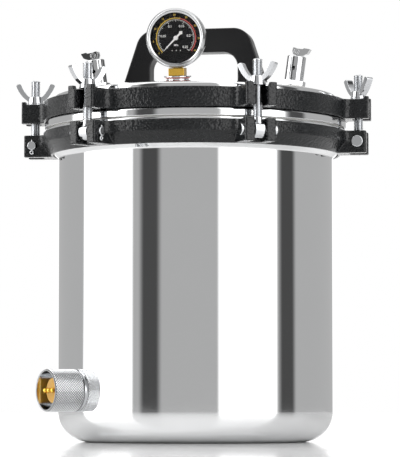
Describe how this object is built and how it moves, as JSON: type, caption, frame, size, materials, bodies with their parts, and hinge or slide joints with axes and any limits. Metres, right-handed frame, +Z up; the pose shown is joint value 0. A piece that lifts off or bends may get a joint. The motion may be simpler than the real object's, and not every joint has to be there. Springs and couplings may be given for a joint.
{
  "type": "benchtop autoclave",
  "caption": "Portable pressure steam steriliser: steel pot and domed lid clamped by swing bolts, with bridge handle, gauge, flip valves and a side power inlet.",
  "frame": {"origin": "centre of the pot's flat underside", "axes": "+Z up along the pot's axis, the gauge side faces -Y, +X to the right seen from the front"},
  "size_m": [0.3775, 0.333, 0.4345],
  "materials": {
    "polished_steel": "mirror polished stainless steel",
    "hammer_black": "black hammertone paint on cast iron",
    "phenolic_black": "satin moulded phenolic",
    "zinc_plate": "bright zinc plate",
    "plain_steel": "satin stainless steel",
    "brass": "machined",
    "silicone_red": "matte silicone",
    "silicone_white": "matte silicone",
    "ceramic_amber": "glazed insulator",
    "dial_black": "printed dial plate",
    "pointer_white": "white enamel",
    "clear_glass": "clear",
    "aluminium": "satin"
  },
  "bodies": {
    "vessel": {"pot_shell": "polished_steel", "lower_clamp_ring": "hammer_black", "heater_element": "plain_steel", "inlet_housing": "plain_steel", "inlet_insulator": "ceramic_amber", "inlet_contacts": "brass", "inlet_seal": "silicone_white", "inlet_lock_nut": "brass", "steam_rack": "plain_steel", "hinge_pins": "zinc_plate", "split_pins": "zinc_plate"},
    "bucket": {"inner_bucket": "aluminium", "vent_guide": "aluminium"},
    "bucket_bail": {"bucket_handle": "plain_steel"},
    "inlet_collar": {"knurled_collar": "zinc_plate"},
    "lid": {"lid_shell": "polished_steel", "upper_clamp_ring": "hammer_black", "lid_gasket": "silicone_white", "carry_handle": "phenolic_black", "handle_screws": "zinc_plate", "handle_washers": "silicone_white", "gauge_case": "polished_steel", "gauge_bezel": "polished_steel", "gauge_glass": "clear_glass", "gauge_dial": "dial_black", "bourdon_tube": "brass", "gauge_stem": "brass", "gauge_washers": "zinc_plate", "gauge_seal": "silicone_red", "gauge_nut": "zinc_plate", "valve_seals": "silicone_red", "valve_nuts": "zinc_plate", "vent_tube": "aluminium", "relief_valve_body": "polished_steel", "vent_valve_body": "polished_steel"},
    "pointer": {"gauge_pointer": "pointer_white"},
    "relief_stem": {"relief_valve_stem": "zinc_plate"},
    "relief_lever": {"relief_valve_lever": "polished_steel"},
    "vent_stem": {"vent_valve_stem": "zinc_plate"},
    "vent_lever": {"vent_valve_lever": "polished_steel"},
    "bolt_1": {"swing_bolt_1": "zinc_plate"},
    "washer_1": {"clamp_washer_1": "zinc_plate"},
    "nut_1": {"wing_nut_1": "zinc_plate"},
    "bolt_2": {"swing_bolt_2": "zinc_plate"},
    "washer_2": {"clamp_washer_2": "zinc_plate"},
    "nut_2": {"wing_nut_2": "zinc_plate"},
    "bolt_3": {"swing_bolt_3": "zinc_plate"},
    "washer_3": {"clamp_washer_3": "zinc_plate"},
    "nut_3": {"wing_nut_3": "zinc_plate"},
    "bolt_4": {"swing_bolt_4": "zinc_plate"},
    "washer_4": {"clamp_washer_4": "zinc_plate"},
    "nut_4": {"wing_nut_4": "zinc_plate"},
    "bolt_5": {"swing_bolt_5": "zinc_plate"},
    "washer_5": {"clamp_washer_5": "zinc_plate"},
    "nut_5": {"wing_nut_5": "zinc_plate"},
    "bolt_6": {"swing_bolt_6": "zinc_plate"},
    "washer_6": {"clamp_washer_6": "zinc_plate"},
    "nut_6": {"wing_nut_6": "zinc_plate"}
  },
  "joints": [
    {"name": "lid_lift", "type": "slide", "parent": "vessel", "child": "lid", "axis": [0, 0, 1], "range_m": [0, 0.3]},
    {"name": "bucket_lift", "type": "slide", "parent": "vessel", "child": "bucket", "axis": [0, 0, 1], "range_m": [0, 0.012]},
    {"name": "bail_swing", "type": "hinge", "parent": "bucket", "child": "bucket_bail", "pos_m": [0, 0, 0.288], "axis": [1, 0, 0], "range_deg": [0, 22]},
    {"name": "collar_spin", "type": "hinge", "parent": "vessel", "child": "inlet_collar", "pos_m": [-0.11979, -0.10303, 0.0525], "axis": [-0.7581, -0.6521, 0], "continuous": true},
    {"name": "gauge_needle", "type": "hinge", "parent": "lid", "child": "pointer", "pos_m": [-0.00154, -0.11065, 0.40472], "axis": [0.0138, 0.9906, 0.1364], "range_deg": [0, 270], "stiffness_Nm_per_rad": 0.0005},
    {"name": "relief_stem_lift", "type": "slide", "parent": "lid", "child": "relief_stem", "axis": [0.1382, -0.0454, 0.9894], "range_m": [0, 0.002]},
    {"name": "relief_lever_flip", "type": "hinge", "parent": "relief_stem", "child": "relief_lever", "pos_m": [0.11129, -0.03659, 0.39764], "axis": [-0.0929, -0.9951, -0.0327], "range_deg": [0, 90]},
    {"name": "vent_stem_lift", "type": "slide", "parent": "lid", "child": "vent_stem", "axis": [-0.1269, -0.0305, 0.9914], "range_m": [0, 0.002]},
    {"name": "vent_lever_flip", "type": "hinge", "parent": "vent_stem", "child": "vent_lever", "pos_m": [-0.10222, -0.02454, 0.39931], "axis": [0.1533, 0.9869, 0.0499], "range_deg": [0, 90]},
    {"name": "bolt_swing_1", "type": "hinge", "parent": "vessel", "child": "bolt_1", "pos_m": [0.085, -0.14722, 0.3076], "axis": [-0.866, -0.5, 0], "range_deg": [-180, 0]},
    {"name": "washer_lift_1", "type": "slide", "parent": "bolt_1", "child": "washer_1", "axis": [0, 0, 1], "range_m": [0, 0.3]},
    {"name": "nut_spin_1", "type": "hinge", "parent": "washer_1", "child": "nut_1", "pos_m": [0.085, -0.14722, 0.3615], "axis": [0, 0, 1], "continuous": true},
    {"name": "bolt_swing_2", "type": "hinge", "parent": "vessel", "child": "bolt_2", "pos_m": [0.17, 0, 0.3076], "axis": [0, -1, 0], "range_deg": [-180, 0]},
    {"name": "washer_lift_2", "type": "slide", "parent": "bolt_2", "child": "washer_2", "axis": [0, 0, 1], "range_m": [0, 0.3]},
    {"name": "nut_spin_2", "type": "hinge", "parent": "washer_2", "child": "nut_2", "pos_m": [0.17, 0, 0.3615], "axis": [0, 0, 1], "continuous": true},
    {"name": "bolt_swing_3", "type": "hinge", "parent": "vessel", "child": "bolt_3", "pos_m": [0.085, 0.14722, 0.3076], "axis": [0.866, -0.5, 0], "range_deg": [-180, 0]},
    {"name": "washer_lift_3", "type": "slide", "parent": "bolt_3", "child": "washer_3", "axis": [0, 0, 1], "range_m": [0, 0.3]},
    {"name": "nut_spin_3", "type": "hinge", "parent": "washer_3", "child": "nut_3", "pos_m": [0.085, 0.14722, 0.3615], "axis": [0, 0, 1], "continuous": true},
    {"name": "bolt_swing_4", "type": "hinge", "parent": "vessel", "child": "bolt_4", "pos_m": [-0.085, 0.14722, 0.3076], "axis": [0.866, 0.5, 0], "range_deg": [-180, 0]},
    {"name": "washer_lift_4", "type": "slide", "parent": "bolt_4", "child": "washer_4", "axis": [0, 0, 1], "range_m": [0, 0.3]},
    {"name": "nut_spin_4", "type": "hinge", "parent": "washer_4", "child": "nut_4", "pos_m": [-0.085, 0.14722, 0.3615], "axis": [0, 0, 1], "continuous": true},
    {"name": "bolt_swing_5", "type": "hinge", "parent": "vessel", "child": "bolt_5", "pos_m": [-0.17, 0, 0.3076], "axis": [0, 1, 0], "range_deg": [-180, 0]},
    {"name": "washer_lift_5", "type": "slide", "parent": "bolt_5", "child": "washer_5", "axis": [0, 0, 1], "range_m": [0, 0.3]},
    {"name": "nut_spin_5", "type": "hinge", "parent": "washer_5", "child": "nut_5", "pos_m": [-0.17, 0, 0.3615], "axis": [0, 0, 1], "continuous": true},
    {"name": "bolt_swing_6", "type": "hinge", "parent": "vessel", "child": "bolt_6", "pos_m": [-0.085, -0.14722, 0.3076], "axis": [-0.866, 0.5, 0], "range_deg": [-180, 0]},
    {"name": "washer_lift_6", "type": "slide", "parent": "bolt_6", "child": "washer_6", "axis": [0, 0, 1], "range_m": [0, 0.3]},
    {"name": "nut_spin_6", "type": "hinge", "parent": "washer_6", "child": "nut_6", "pos_m": [-0.085, -0.14722, 0.3615], "axis": [0, 0, 1], "continuous": true}
  ],
  "couplings": [
    {"joint": "relief_lever_flip", "follows": "relief_stem_lift", "rad_per_m": 785.39},
    {"joint": "vent_lever_flip", "follows": "vent_stem_lift", "rad_per_m": 785.39},
    {"joint": "washer_lift_1", "follows": "lid_lift", "ratio": 1},
    {"joint": "washer_lift_2", "follows": "lid_lift", "ratio": 1},
    {"joint": "washer_lift_3", "follows": "lid_lift", "ratio": 1},
    {"joint": "washer_lift_4", "follows": "lid_lift", "ratio": 1},
    {"joint": "washer_lift_5", "follows": "lid_lift", "ratio": 1},
    {"joint": "washer_lift_6", "follows": "lid_lift", "ratio": 1}
  ]
}
